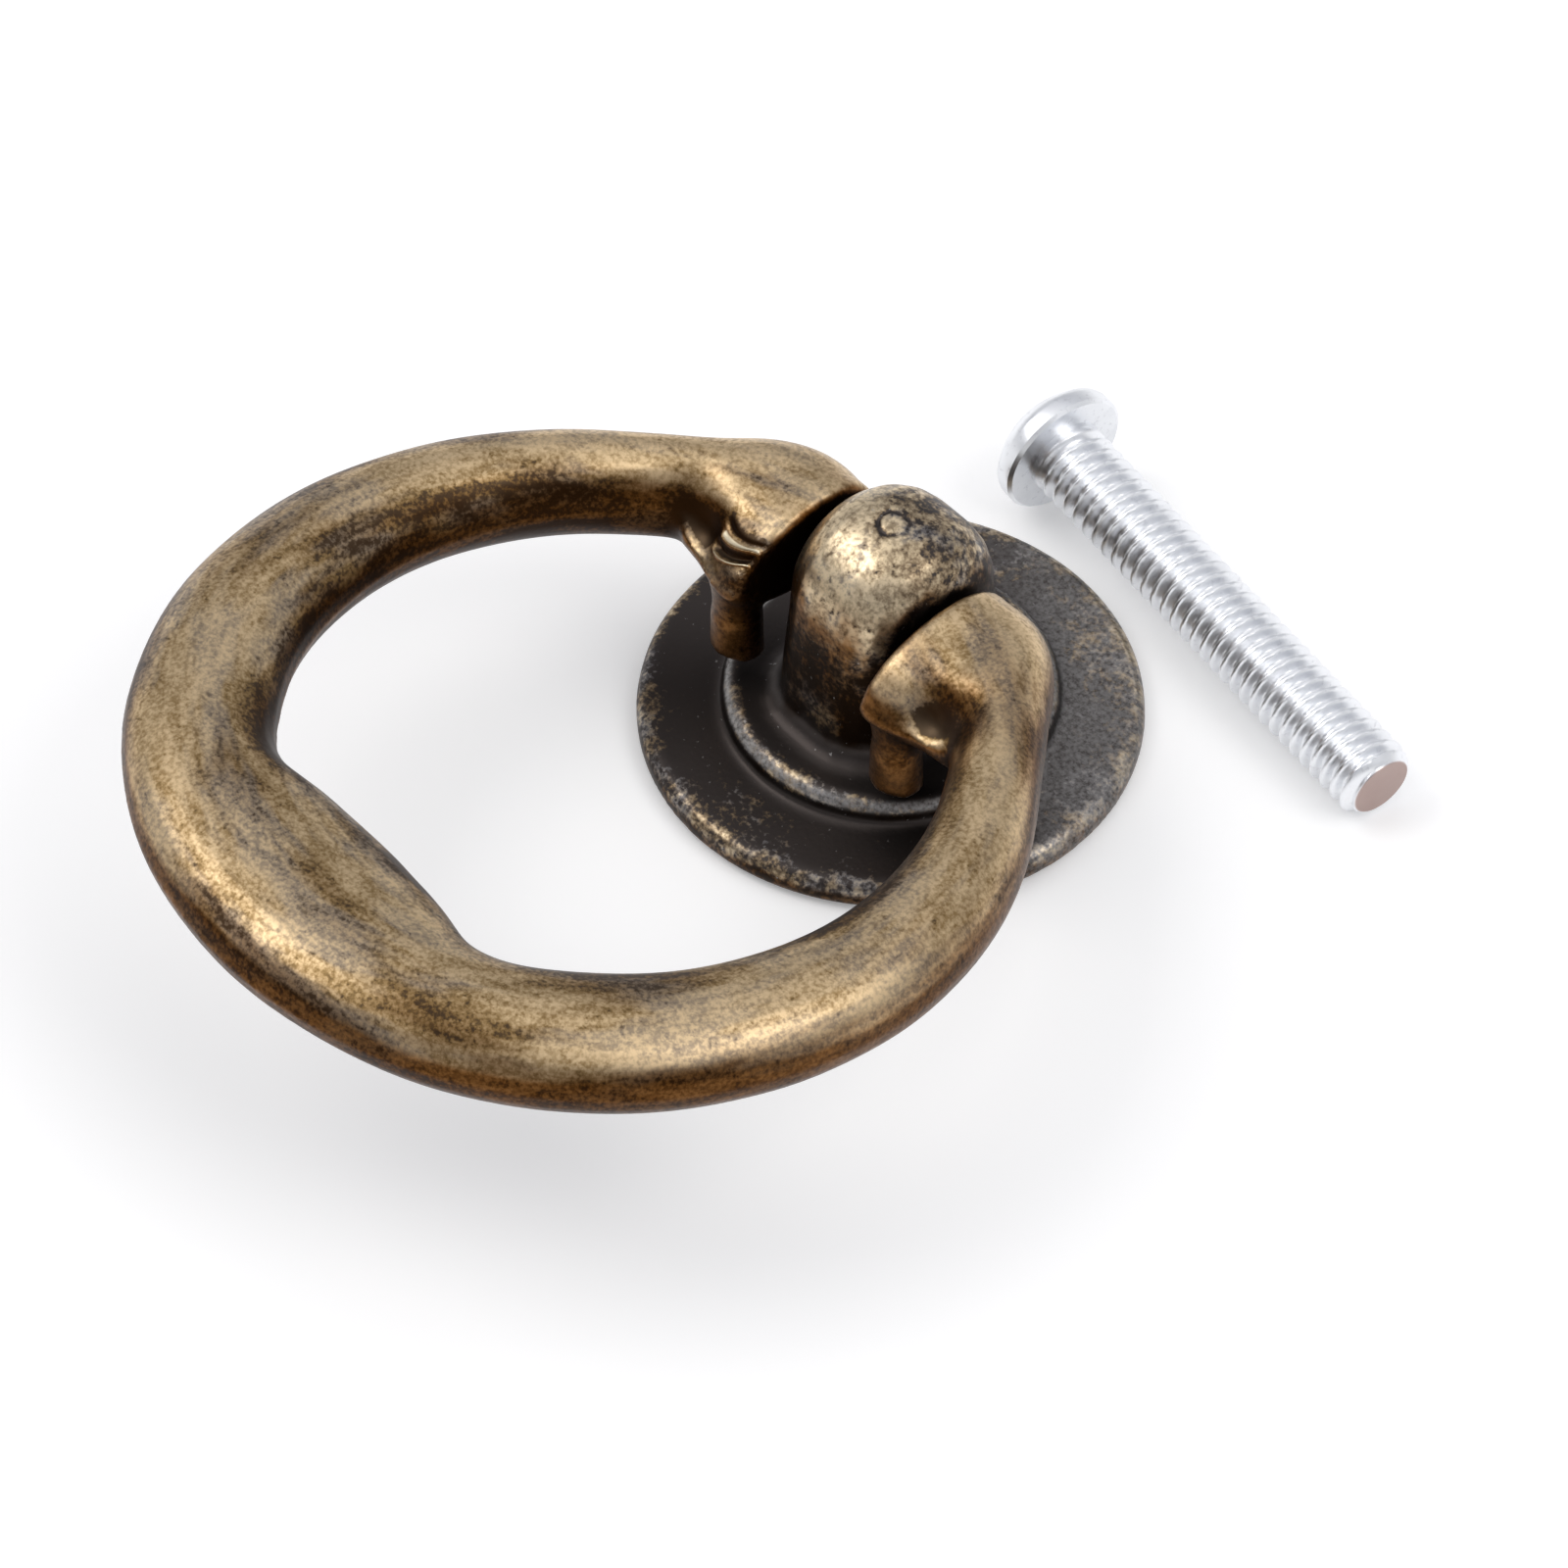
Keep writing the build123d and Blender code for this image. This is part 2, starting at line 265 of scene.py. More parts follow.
def cast_skin(mesh, name, voxel, rounds):
    """An even skin over a closed solid, with its edges melted."""

    def set_up(thing):
        """Adds the skin and then the melting."""
        remesh = thing.modifiers.new("skin", "REMESH")
        remesh.mode = "VOXEL"
        remesh.voxel_size = voxel
        smooth = thing.modifiers.new("melt", "SMOOTH")
        smooth.factor = 0.5
        smooth.iterations = rounds

    return evaluated(mesh, name, set_up)


def points_of(mesh):
    """A mesh's points as an array."""
    points = np.zeros(len(mesh.vertices) * 3, np.float32)
    mesh.vertices.foreach_get("co", points)
    return points.reshape(-1, 3).astype(float)


def normals_of(mesh):
    """A mesh's point normals as an array."""
    normals = np.zeros(len(mesh.vertices) * 3, np.float32)
    mesh.vertices.foreach_get("normal", normals)
    return normals.reshape(-1, 3).astype(float)


def set_points(mesh, points):
    """Puts an array of points back into a mesh."""
    mesh.vertices.foreach_set("co", points.astype(np.float32).ravel())
    mesh.update()


def edges_of(mesh):
    """A mesh's edges as an array of point numbers."""
    edges = np.zeros(len(mesh.edges) * 2, np.int32)
    mesh.edges.foreach_get("vertices", edges)
    return edges.reshape(-1, 2)


def spread(values, edges, rounds):
    """Averages each point's values with its neighbours', over and over."""
    ends = np.concatenate([edges[:, 0], edges[:, 1]])
    others = np.concatenate([edges[:, 1], edges[:, 0]])
    count = len(values)
    share = 1 / np.maximum(np.bincount(ends, minlength=count), 1)
    for _ in range(rounds):
        for column in range(values.shape[1]):
            near = np.bincount(ends, values[others, column], minlength=count) * share
            values[:, column] = 0.5 * values[:, column] + 0.5 * near
    return values


def waves(points, size, seed):
    """Smooth noise at each point, from about -1 to 1."""
    shift = Vector((seed, -seed, 2 * seed))
    return np.array([noise.noise(Vector(point) / size + shift) for point in points])


# %% [markdown]
# ## Where the metal is rubbed
# Aged brass is dipped black and then tumbled, so the gold comes back on whatever stands proud and the
# black stays wherever nothing can rub. Each casting therefore carries measures at its points: how
# sharp its edges are, how much it bulges, how open it is to its surroundings and how far it faces up.
# Two more say where the dip stayed or went for reasons that no measure shows, such as handling, and
# where dust has settled. The first also carries painted shade and painted highlights, and the second
# a painted sheen of reflected light. How far a point faces up sets a painted shade on the sides.


# %% Measures of wear
RAY_START = 0.05
EDGE_ROUNDS = 12
CREST_ROUNDS = 90
OPEN_REACH = 12.0
OPEN_SAMPLES = 9000
OPEN_RAYS = 28


def bulge(mesh, rounds):
    """How far each point stands out from its smoothed neighbourhood, in millimetres."""
    points = points_of(mesh)
    smooth = spread(points.copy(), edges_of(mesh), rounds)
    return ((points - smooth) * normals_of(mesh)).sum(1)


def solid_tree(mesh):
    """A mesh as a tree that rays can be cast at."""
    corners = [Vector(point) for point in points_of(mesh)]
    return BVHTree.FromPolygons(corners, [tuple(face.vertices) for face in mesh.polygons])


def openness(mesh, neighbour, reach, samples, rays):
    """The share of rays that leave a point freely, worked out at some points and shared with the rest."""
    points = points_of(mesh)
    normals = normals_of(mesh)
    solids = (solid_tree(mesh), solid_tree(neighbour))
    golden = math.pi * (3 - math.sqrt(5))
    chosen = range(0, len(points), max(1, len(points) // samples))
    near = KDTree(len(chosen))
    values = []
    for place, index in enumerate(chosen):
        normal = Vector(normals[index])
        start = Vector(points[index]) + normal * RAY_START
        side = normal.orthogonal().normalized()
        other = normal.cross(side)
        free = 0
        for ray in range(rays):
            height = math.sqrt(1 - (ray + 0.5) / rays)
            around = golden * ray
            flat = math.sqrt(1 - height * height)
            heading = normal * height + (side * math.cos(around) + other * math.sin(around)) * flat
            if all(solid.ray_cast(start, heading, reach)[0] is None for solid in solids):
                free += 1
        values.append(free / rays)
        near.insert(points[index], place)
    near.balance()
    result = np.zeros(len(points))
    for index, point in enumerate(points):
        found = near.find_n(point, 3)
        weights = [1 / (distance + RAY_START) for _, _, distance in found]
        total = sum(weight * values[place] for weight, (_, place, _) in zip(weights, found))
        result[index] = total / sum(weights)
    return result


def store(mesh, name, values):
    """Keeps one number or one vector per point as a named attribute."""
    if values.ndim == 1:
        mesh.attributes.new(name, "FLOAT", "POINT").data.foreach_set("value", values.astype(np.float32))
    else:
        attribute = mesh.attributes.new(name, "FLOAT_VECTOR", "POINT")
        attribute.data.foreach_set("vector", values.astype(np.float32).ravel())


def store_wear(mesh, neighbour, dip_kept_and_painted_light, dust_and_sheen, flow):
    """Stores what the brass finish reads: the measures, the kept dip with painted shade and highlights, the
    dust with a painted sheen, and the grain's run.
    """
    measures = {
        "edge": bulge(mesh, EDGE_ROUNDS),
        "crest": bulge(mesh, CREST_ROUNDS),
        "open": openness(mesh, neighbour, OPEN_REACH, OPEN_SAMPLES, OPEN_RAYS),
        "lie": normals_of(mesh)[:, 2],
        "dip_kept_and_painted_light": dip_kept_and_painted_light,
        "dust_and_sheen": dust_and_sheen,
    }
    for name, values in measures.items():
        store(mesh, name, values)
        print(mesh.name, name, np.percentile(values, (5, 50, 95)).round(3))
    store(mesh, "flow", flow * MM)


def fade(values, low, high):
    """A smooth step from 0 to 1 between two values."""
    share = np.clip((values - low) / (high - low), 0, 1)
    return share * share * (3 - 2 * share)


def soften(mesh, mask, rounds):
    """More melting where the mask is 1, none where it is 0."""
    points = points_of(mesh)
    soft = spread(points.copy(), edges_of(mesh), rounds)
    set_points(mesh, points + (soft - points) * mask[:, None])


# %% [markdown]
# ## Ring
# The ring is worked flat, in its own plane, because its parting line lies in that plane: the two
# halves of the mould met there and left a thin raised seam. Its lobes are softer below than the
# solid's and fuller at the beak, and their scoops lie a little lower.

# %% Ring
PIVOT_HEIGHT = 9.6
RING_TILT = 6.9
RING_CENTRE = -19.9
RING_MIDDLE_RADIUS = 18.0
SKIN_STEP = 0.2
SKIN_ROUNDS = 5
CHIN_PLACE = (5.8, -4.95, -2.3)
CHIN_REACH = 2.0
CHIN_SPAN = (0.4, 0.7)
CHIN_ROUNDS = 40
UPPER_SPAN = (-0.1, 0.3)
FULL_PLACE = (8.2, -3.5, 1.6)
FULL_REACH = 1.6
FULL_HEIGHT = 0.5
SCOOP_PLACE = (8.3, -4.95, 0.0)
SCOOP_REACH = 1.1
SCOOP_DEPTH = 0.27


def near_lobes(points, place, reach):
    """From 1 at a place on either lobe to 0 away from it. The place is given on the side of +X."""
    away = points.copy()
    away[:, 0] = np.abs(away[:, 0])
    away -= place
    return np.exp(-(away * away).sum(1) / reach**2)


to_ring = Matrix.Rotation(math.radians(RING_TILT), 4, "X") @ Matrix.Translation((0, 0, -PIVOT_HEIGHT))
ring_mesh = cast_skin(cad_copy("ring", to_ring), "cast_ring", SKIN_STEP, SKIN_ROUNDS)
chin = fade(near_lobes(points_of(ring_mesh), CHIN_PLACE, CHIN_REACH), *CHIN_SPAN)
soften(ring_mesh, chin, CHIN_ROUNDS)
ring_points = points_of(ring_mesh)
ring_normals = normals_of(ring_mesh)
upper_side = fade(ring_normals[:, 2], *UPPER_SPAN)
fullness = FULL_HEIGHT * near_lobes(ring_points, FULL_PLACE, FULL_REACH) * upper_side
fullness -= SCOOP_DEPTH * near_lobes(ring_points, SCOOP_PLACE, SCOOP_REACH) * upper_side
set_points(ring_mesh, ring_points + ring_normals * fullness[:, None])
print("ring points", len(ring_mesh.vertices))

# %% [markdown]
# The beak of the left lobe has a nick: a curved cut with a rolled lip above it, as if the casting had
# been broken off its sprue there. Its groove and a band higher up the slope are painted dark as shadow,
# and a band just above the lip and the thin edge below the groove are painted pale as highlight. The
# skin is too coarse for it, so the faces there are divided first.

# %% Nick
NICK_LINE = ((-6.8, -5.23), (-5.4, -5.38), (-4.5, -5.08))
NICK_SPAN = (-7.5, -4.4)
NICK_REACH = 1.1
NICK_ENDS = (0.5, 0.35)
NICK_UPPER = (0.1, 0.4)
NICK_CUTS = 4
NICK_SHAPE = (
    # Distance up the slope from the cut, half width, height, dip kept; a high dip kept paints shadow and a
    # low one paints highlight
    (0.04, 0.15, -0.24, 1.3),
    (0.32, 0.09, 0.15, 0.0),
    (0.46, 0.12, 0.0, -2.4),
    (0.7, 0.15, -0.1, 0.0),
    (0.88, 0.2, 0.0, 0.9),
    (-0.2, 0.05, 0.06, -2.2),
)


def divide(mesh, chosen, cuts):
    """Divides the faces at the chosen points."""
    work = bmesh.new()
    work.from_mesh(mesh)
    work.verts.ensure_lookup_table()
    edges = {edge for index in chosen for edge in work.verts[index].link_edges}
    bmesh.ops.subdivide_edges(work, edges=list(edges), cuts=cuts, use_grid_fill=True)
    bmesh.ops.triangulate(work, faces=[face for face in work.faces if len(face.verts) > 4])
    work.to_mesh(mesh)
    work.free()
    mesh.update()


def nick_line(x):
    """The cut in plan: a parabola through its three points."""
    return np.polyval(np.polyfit(*zip(*NICK_LINE), 2), x)


ring_points = points_of(ring_mesh)
beak = np.abs(ring_points[:, 1] - nick_line(ring_points[:, 0])) < NICK_REACH
beak &= (ring_points[:, 0] > NICK_SPAN[0]) & (ring_points[:, 0] < NICK_SPAN[1])
beak &= normals_of(ring_mesh)[:, 2] > NICK_UPPER[0]
divide(ring_mesh, np.flatnonzero(beak), NICK_CUTS)
ring_points = points_of(ring_mesh)
ring_normals = normals_of(ring_mesh)
past_nick = ring_points[:, 1] - nick_line(ring_points[:, 0])
nick_share = fade(ring_points[:, 0], NICK_SPAN[0], NICK_SPAN[0] + NICK_ENDS[0])
nick_share *= 1 - fade(ring_points[:, 0], NICK_SPAN[1] - NICK_ENDS[1], NICK_SPAN[1])
nick_share *= fade(ring_normals[:, 2], *NICK_UPPER) * (np.abs(past_nick) < NICK_REACH)
ring_lift = np.zeros(len(ring_points))
ring_dip_and_painted_light = np.zeros(len(ring_points))
# Painted shadow in the groove and higher up, painted highlight above the lip and on the lower edge.
for distance, width, height, dip_kept_and_painted_light in NICK_SHAPE:
    here = np.exp(-(((past_nick - distance) / width) ** 2)) * nick_share
    ring_lift += height * here
    ring_dip_and_painted_light += dip_kept_and_painted_light * here
print("points in the nick", int((nick_share > 0.1).sum()))

# %% [markdown]
# The ring's surface is a little uneven, with the seam standing up from it. Its inner side is made darker,
# the scoops keep more of the dip, and part of the outer side, on the camera's left, is painted darker as
# shade. The seam and the tops of the lobes keep less.

# %% Ring surface
SEAM_HEIGHT = 0.02
SEAM_WIDTH = 0.16
WAVE_HEIGHT = 0.05
WAVE_SIZE = 5.0
LOBES_END = (6.0, 8.0)
INNER_SPAN = (0.1, 0.7)
INNER_DARKENING = 0.35
# Painted shade: the outer side on the camera's left is darkened.
OUTER_SHADE_SPAN = (0.1, 0.6)
OUTER_SHADE_PLACE = (-0.55, -0.83)
OUTER_SHADE_STRETCH = (-0.2, 0.6)
OUTER_PAINTED_SHADE = 0.22
LOBE_SPAN = (0.2, 0.6)
LOBE_RUBBED = 0.15
SEAM_KEPT = 0.5
SCOOP_KEPT = 0.15
SCOOP_SPREAD = 1.4
STREAK_STRETCH = 0.3

from_centre = ring_points[:, :2] - [0, RING_CENTRE]
out = np.hypot(from_centre[:, 0], from_centre[:, 1])
facing_out = (ring_normals[:, :2] * from_centre).sum(1) / out
inner_side = fade(-facing_out, *INNER_SPAN)
outer_shade = fade(facing_out, *OUTER_SHADE_SPAN)
outer_shade *= fade(from_centre @ np.array(OUTER_SHADE_PLACE) / out, *OUTER_SHADE_STRETCH)
beyond_lobes = fade(-ring_points[:, 1], *LOBES_END)
ring_lift += WAVE_HEIGHT * waves(ring_points, WAVE_SIZE, seed=3.1)
seam = np.exp(-((ring_points[:, 2] / SEAM_WIDTH) ** 2)) * beyond_lobes
ring_lift += SEAM_HEIGHT * seam * (0.5 + inner_side)
ring_dip_and_painted_light += beyond_lobes * inner_side * (INNER_DARKENING - SEAM_KEPT * seam)
# Painted shade on the outer side.
ring_dip_and_painted_light += OUTER_PAINTED_SHADE * outer_shade
ring_dip_and_painted_light += SCOOP_KEPT * near_lobes(ring_points, SCOOP_PLACE, SCOOP_SPREAD * SCOOP_REACH)
ring_dip_and_painted_light -= LOBE_RUBBED * (1 - beyond_lobes) * fade(ring_normals[:, 2], *LOBE_SPAN)
set_points(ring_mesh, ring_points + ring_normals * ring_lift[:, None])
turn = np.arctan2(from_centre[:, 0], -from_centre[:, 1])
ring_flow = np.stack([turn * RING_MIDDLE_RADIUS * STREAK_STRETCH, out, ring_points[:, 2]], 1)
no_dust_and_sheen = np.zeros(len(ring_points))
store_wear(ring_mesh, cad_copy("base", to_ring), ring_dip_and_painted_light, no_dust_and_sheen, ring_flow)
ring_mesh.transform(Matrix.Scale(MM, 4) @ to_ring.inverted())

# %% [markdown]
# ## Base
# Plate, step and post are one casting, so they become one skin too. The dome has lost most of its black
# on the ring's side, partly to hands and the tumbling drum and partly as a painted highlight on the side
# that the left lamp lights. The plate has kept its black, but a painted sheen of reflected light lightens
# it on the side away from the ring, where some dust lies too, and a pale painted sheen lies along the
# step's edge.

# %% Base
BASE_STEP = 0.14
BASE_ROUNDS = 6
STEP_RADIUS = 8.3
STEP_SPAN = (0.5, 1.0)
STEP_FOOT = 1.2
STEP_ROUNDS = 10
CROWN_SPAN = (1.2, 3.2)
CROWN_ROUNDS = 120
DOME_LOW = 7.0
DOME_HIGH = 11.0
MARK_ROOM = 1.6
PLATE_KEPT = 0.75
# Painted sheen: the plate is lightened on the camera's right, where it reflects the sky, and dust is laid
# there too.
PLATE_SHEEN = 0.34
PLATE_DUST_AND_SHEEN = 0.45
LEG_RUBBED = 0.45
# Painted highlight, together with rubbing: the dome's gold is laid towards the ring and the left lamp.
DOME_RUBBED_AND_LIT = 1.0
RUBBED_AND_LIT_SIDE = (-0.36, -0.74, 0.3)
RUBBED_AND_LIT_SPAN = (-0.35, 0.65)
CROWN_DULL = 0.4
CROWN_UPPER = (0.7, 0.97)
# Painted sheen on the plate, towards the camera's right.
SHEEN_SIDE = (0.66, 0.75, 0)
SHEEN_SPAN = (2.0, 10.0)
PLATE_LEVEL = (2.0, 4.0)
LEG_LEVEL = (3.2, 5.0)
# Painted sheen: a pale band of reflected light along the step's rounded edge, broken up like dust.
STEP_SHEEN_INSET = 0.2
STEP_SHEEN_WIDTH = 0.4
STEP_SHEEN_LEVEL = (2.2, 2.6)
BASE_WAVE = 0.02
BASE_WAVE_SIZE = 3.0

base_mesh = cast_skin(cad_copy("base", Matrix.Identity(4)), "cast_base", BASE_STEP, BASE_ROUNDS)
base_points = points_of(base_mesh)
from_axis = np.hypot(base_points[:, 0], base_points[:, 1])
step_edge = (1 - fade(np.abs(from_axis - STEP_RADIUS), *STEP_SPAN)) * (base_points[:, 2] > STEP_FOOT)
soften(base_mesh, step_edge, STEP_ROUNDS)
soften(base_mesh, (1 - fade(from_axis, *CROWN_SPAN)) * (base_points[:, 2] > DOME_HIGH), CROWN_ROUNDS)
crown_points = (from_axis < MARK_ROOM) & (base_points[:, 2] > DOME_HIGH)
base_points = points_of(base_mesh)
base_normals = normals_of(base_mesh)
from_step = np.hypot(base_points[:, 0], base_points[:, 1]) - STEP_RADIUS
rubbed_and_lit_dome = fade(base_points[:, 2], DOME_LOW, DOME_HIGH)
# Painted highlight, together with rubbing, on the dome's side towards the ring and the left lamp.
rubbed_and_lit_dome *= fade(base_normals @ np.array(RUBBED_AND_LIT_SIDE), *RUBBED_AND_LIT_SPAN)
rubbed_and_lit_dome *= 1 - CROWN_DULL * fade(base_normals[:, 2], *CROWN_UPPER)
# Painted sheen on the plate, with some dust over it.
plate_sheen = fade(base_points @ np.array(SHEEN_SIDE), *SHEEN_SPAN) * (1 - fade(base_points[:, 2], *PLATE_LEVEL))
leg = fade(base_points[:, 2], *LEG_LEVEL)
base_dip_and_painted_light = PLATE_KEPT - LEG_RUBBED * leg - DOME_RUBBED_AND_LIT * rubbed_and_lit_dome - PLATE_SHEEN * plate_sheen
# Painted sheen along the step's edge, stored with the dust.
step_sheen = 1 - fade(np.abs(from_step + STEP_SHEEN_INSET), 0.0, STEP_SHEEN_WIDTH)
step_sheen *= fade(base_points[:, 2], *STEP_SHEEN_LEVEL)
base_dust_and_sheen = np.maximum(step_sheen, PLATE_DUST_AND_SHEEN * plate_sheen)
base_lift = BASE_WAVE * waves(base_points, BASE_WAVE_SIZE, seed=7.7)
set_points(base_mesh, base_points + base_normals * base_lift[:, None])
store_wear(base_mesh, cad_copy("ring", Matrix.Identity(4)), base_dip_and_painted_light, base_dust_and_sheen, base_points)

# %% [markdown]
# The gate mark is a small ragged ring on the post's crown, finer than the skin. The crown is divided
# after its wear is measured, because the measures need an even skin. The new points share them.

# %% Gate mark
MARK_CUTS = 2
MARK_RADIUS = 0.72
MARK_WIDTH = 0.16
MARK_DEPTH = 0.12
MARK_WOBBLE = 0.12
MARK_WOBBLE_SIZE = 0.7
MARK_GAP_SIZE = 0.45
MARK_FILL = 0.75
MARK_MOST = 1.2
MARK_KEPT = 1.3
MIDDLE_RADIUS = 0.3
MIDDLE_RUBBED = 0.4

divide(base_mesh, np.flatnonzero(crown_points), MARK_CUTS)
base_points = points_of(base_mesh)
on_crown = base_points[:, 2] > DOME_HIGH
from_mark = np.hypot(base_points[:, 0], base_points[:, 1])
from_mark += MARK_WOBBLE * waves(base_points, MARK_WOBBLE_SIZE, seed=4.2)
ragged = np.clip(MARK_FILL + waves(base_points, MARK_GAP_SIZE, seed=1.3), 0, MARK_MOST)
mark = np.exp(-(((from_mark - MARK_RADIUS) / MARK_WIDTH) ** 2)) * on_crown * ragged
mark_middle = (1 - fade(from_mark, MIDDLE_RADIUS, MARK_RADIUS)) * on_crown
set_points(base_mesh, base_points - normals_of(base_mesh) * (MARK_DEPTH * mark)[:, None])
base_dip_and_painted_light = np.zeros(len(base_points), np.float32)
base_mesh.attributes["dip_kept_and_painted_light"].data.foreach_get("value", base_dip_and_painted_light)
base_dip_and_painted_light += MARK_KEPT * mark - MIDDLE_RUBBED * mark_middle
base_mesh.attributes["dip_kept_and_painted_light"].data.foreach_set("value", base_dip_and_painted_light)
base_mesh.transform(Matrix.Scale(MM, 4))
print("base points", len(base_mesh.vertices))

# %% [markdown]
# ## Aged brass
# The finish mixes three states of the same metal: rubbed gold, brown half-worn patina and the black of
# the dip. Two node groups are shared by both castings. One makes speckle of a given size, and the other
# turns the wear measures into masks that say how much gold shows, what is shut in and what faces up.
# The last one sets a painted shade on faces that turn sideways or down.


# %% Shared groups
def new_group(name, inputs, outputs):
    """An empty shader node group with named sockets."""
    group = bpy.data.node_groups.new(name, "ShaderNodeTree")
    for socket_name, kind, value in inputs:
        socket = group.interface.new_socket(socket_name, in_out="INPUT", socket_type=kind)
        if value is not None:
            socket.default_value = value
    for socket_name, kind in outputs:
        group.interface.new_socket(socket_name, in_out="OUTPUT", socket_type=kind)
    start = group.nodes.new("NodeGroupInput")
    end = group.nodes.new("NodeGroupOutput")
    return group, start, end


FLOAT = "NodeSocketFloat"
VECTOR = "NodeSocketVector"
HOLLOW_SPAN = (-0.13, -0.01)
speckle_group, start, end = new_group(
    "speckle",
    [("Vector", VECTOR, None), ("Scale", FLOAT, 1000.0), ("Cover", FLOAT, 0.5), ("Soft", FLOAT, 0.1)],
    [("Mask", FLOAT)],
)
grain = add_node(
    speckle_group,
    "ShaderNodeTexNoise",
    {"Vector": start.outputs["Vector"], "Scale": start.outputs["Scale"], "Detail": 3.0, "Roughness": 0.6},
)
speckle_low = math_node(speckle_group, "SUBTRACT", start.outputs["Cover"], start.outputs["Soft"])
speckle_high = math_node(speckle_group, "ADD", start.outputs["Cover"], start.outputs["Soft"])
speckle_mask = ramp(speckle_group, grain.outputs["Fac"], speckle_low, speckle_high, 1.0, 0.0)
speckle_group.links.new(speckle_mask, end.inputs["Mask"])


def speckle(tree, vector, scale, cover, soft):
    """A mask of spots, where noise of the given scale falls below the cover."""
    inputs = {"Vector": vector, "Scale": scale, "Cover": cover, "Soft": soft}
    return add_node(tree, "ShaderNodeGroup", inputs, node_tree=speckle_group).outputs["Mask"]


wear_and_light_group, start, end = new_group(
    "wear_and_painted_light",
    [
        ("Crest Gain", FLOAT, 3.0),
        ("Edge Gain", FLOAT, 20.0),
        ("Open Low", FLOAT, 0.4),
        ("Open High", FLOAT, 0.9),
        ("Side Shade Low", FLOAT, 0.0),
        ("Side Shade High", FLOAT, 0.5),
        ("Side Shade Break", FLOAT, 0.0),
        ("Hollow Loss", FLOAT, 0.0),
    ],
    [("Rubbed And Painted Light", FLOAT), ("Shut", FLOAT), ("Top", FLOAT)],
)


def measure(name):
    """One of the stored wear measures, inside the group that turns them into wear and painted light."""
    return stored(wear_and_light_group, name).outputs["Fac"]


proud = math_node(wear_and_light_group, "MULTIPLY", measure("crest"), start.outputs["Crest Gain"])
rubbed_and_painted_light = math_node(wear_and_light_group, "MULTIPLY_ADD", measure("edge"), start.outputs["Edge Gain"], proud)
rubbed_and_painted_light = math_node(wear_and_light_group, "SUBTRACT", rubbed_and_painted_light, measure("dip_kept_and_painted_light"))
hollow = ramp(wear_and_light_group, measure("crest"), *HOLLOW_SPAN, 1.0, 0.0)
hollow = math_node(wear_and_light_group, "MULTIPLY", hollow, start.outputs["Hollow Loss"])
rubbed_and_painted_light = math_node(wear_and_light_group, "SUBTRACT", rubbed_and_painted_light, hollow)
shut = ramp(wear_and_light_group, measure("open"), start.outputs["Open Low"], start.outputs["Open High"], 1.0, 0.0)
# Painted shade: the Unshaded mask is 0 on faces that turn sideways or down.
lie = math_node(wear_and_light_group, "ADD", measure("lie"), start.outputs["Side Shade Break"])
unshaded_mask = ramp(wear_and_light_group, lie, start.outputs["Side Shade Low"], start.outputs["Side Shade High"])
wear_and_light_group.links.new(rubbed_and_painted_light, end.inputs["Rubbed And Painted Light"])
wear_and_light_group.links.new(shut, end.inputs["Shut"])
wear_and_light_group.links.new(unshaded_mask, end.inputs["Top"])

# %% [markdown]
# Each casting then gets its own brass. The share of gold starts from the rubbing and loses what is shut
# in, and, as painted shade, what faces sideways. It is then broken up at several sizes: patches of a few
# millimetres, streaks that run along the casting, fine grain and dark specks. Where the share is low the
# metal is brown, and lower still it is the black of the dip. Sideways and downward faces are tinted dark
# reddish brown as painted shade. Freshly cut metal is pale, partly as a painted highlight, and dust lies
# on top, with a painted sheen of the same grey along the base's step edge.

# %% Brass materials
CLOUD_SCALE = 330.0
CLOUD_SPAN = (0.3, 0.7)
# Breaks up the edge of the painted side shade.
SIDE_SHADE_BREAK = 0.25
TINGE_SCALE = 420.0
STREAK_SCALE = 1500.0
SPECK_SCALE = 1900.0
GRIT_SCALE = 3300.0
PIT_SCALE = 3600.0
DUST_AND_SHEEN_SCALE = 4600.0
PIT_DEPTH = 0.03 * MM
GOLD_SPAN = (-0.35, 1.05)
BLACK_SPAN = (-0.65, -0.05)
PALE_CUT_AND_HIGHLIGHT_SPAN = (1.9, 2.6)
ROUGH_SPAN = (-0.4, 0.8)
# Painted shade: sideways and downward faces are tinted dark reddish brown.
PAINTED_SIDE_SHADE = (0.3, 0.185, 0.1, 1)
PLAIN = (1, 1, 1, 1)
# Pale freshly cut metal on the nick, partly a painted highlight.
PALE_CUT_AND_HIGHLIGHT = (0.86, 0.76, 0.55, 1)
MOST_RUBBED = 1.05
# Grey for dust, and for the painted sheen along the base's step edge.
DUST_AND_SHEEN = (0.4, 0.39, 0.38, 1)


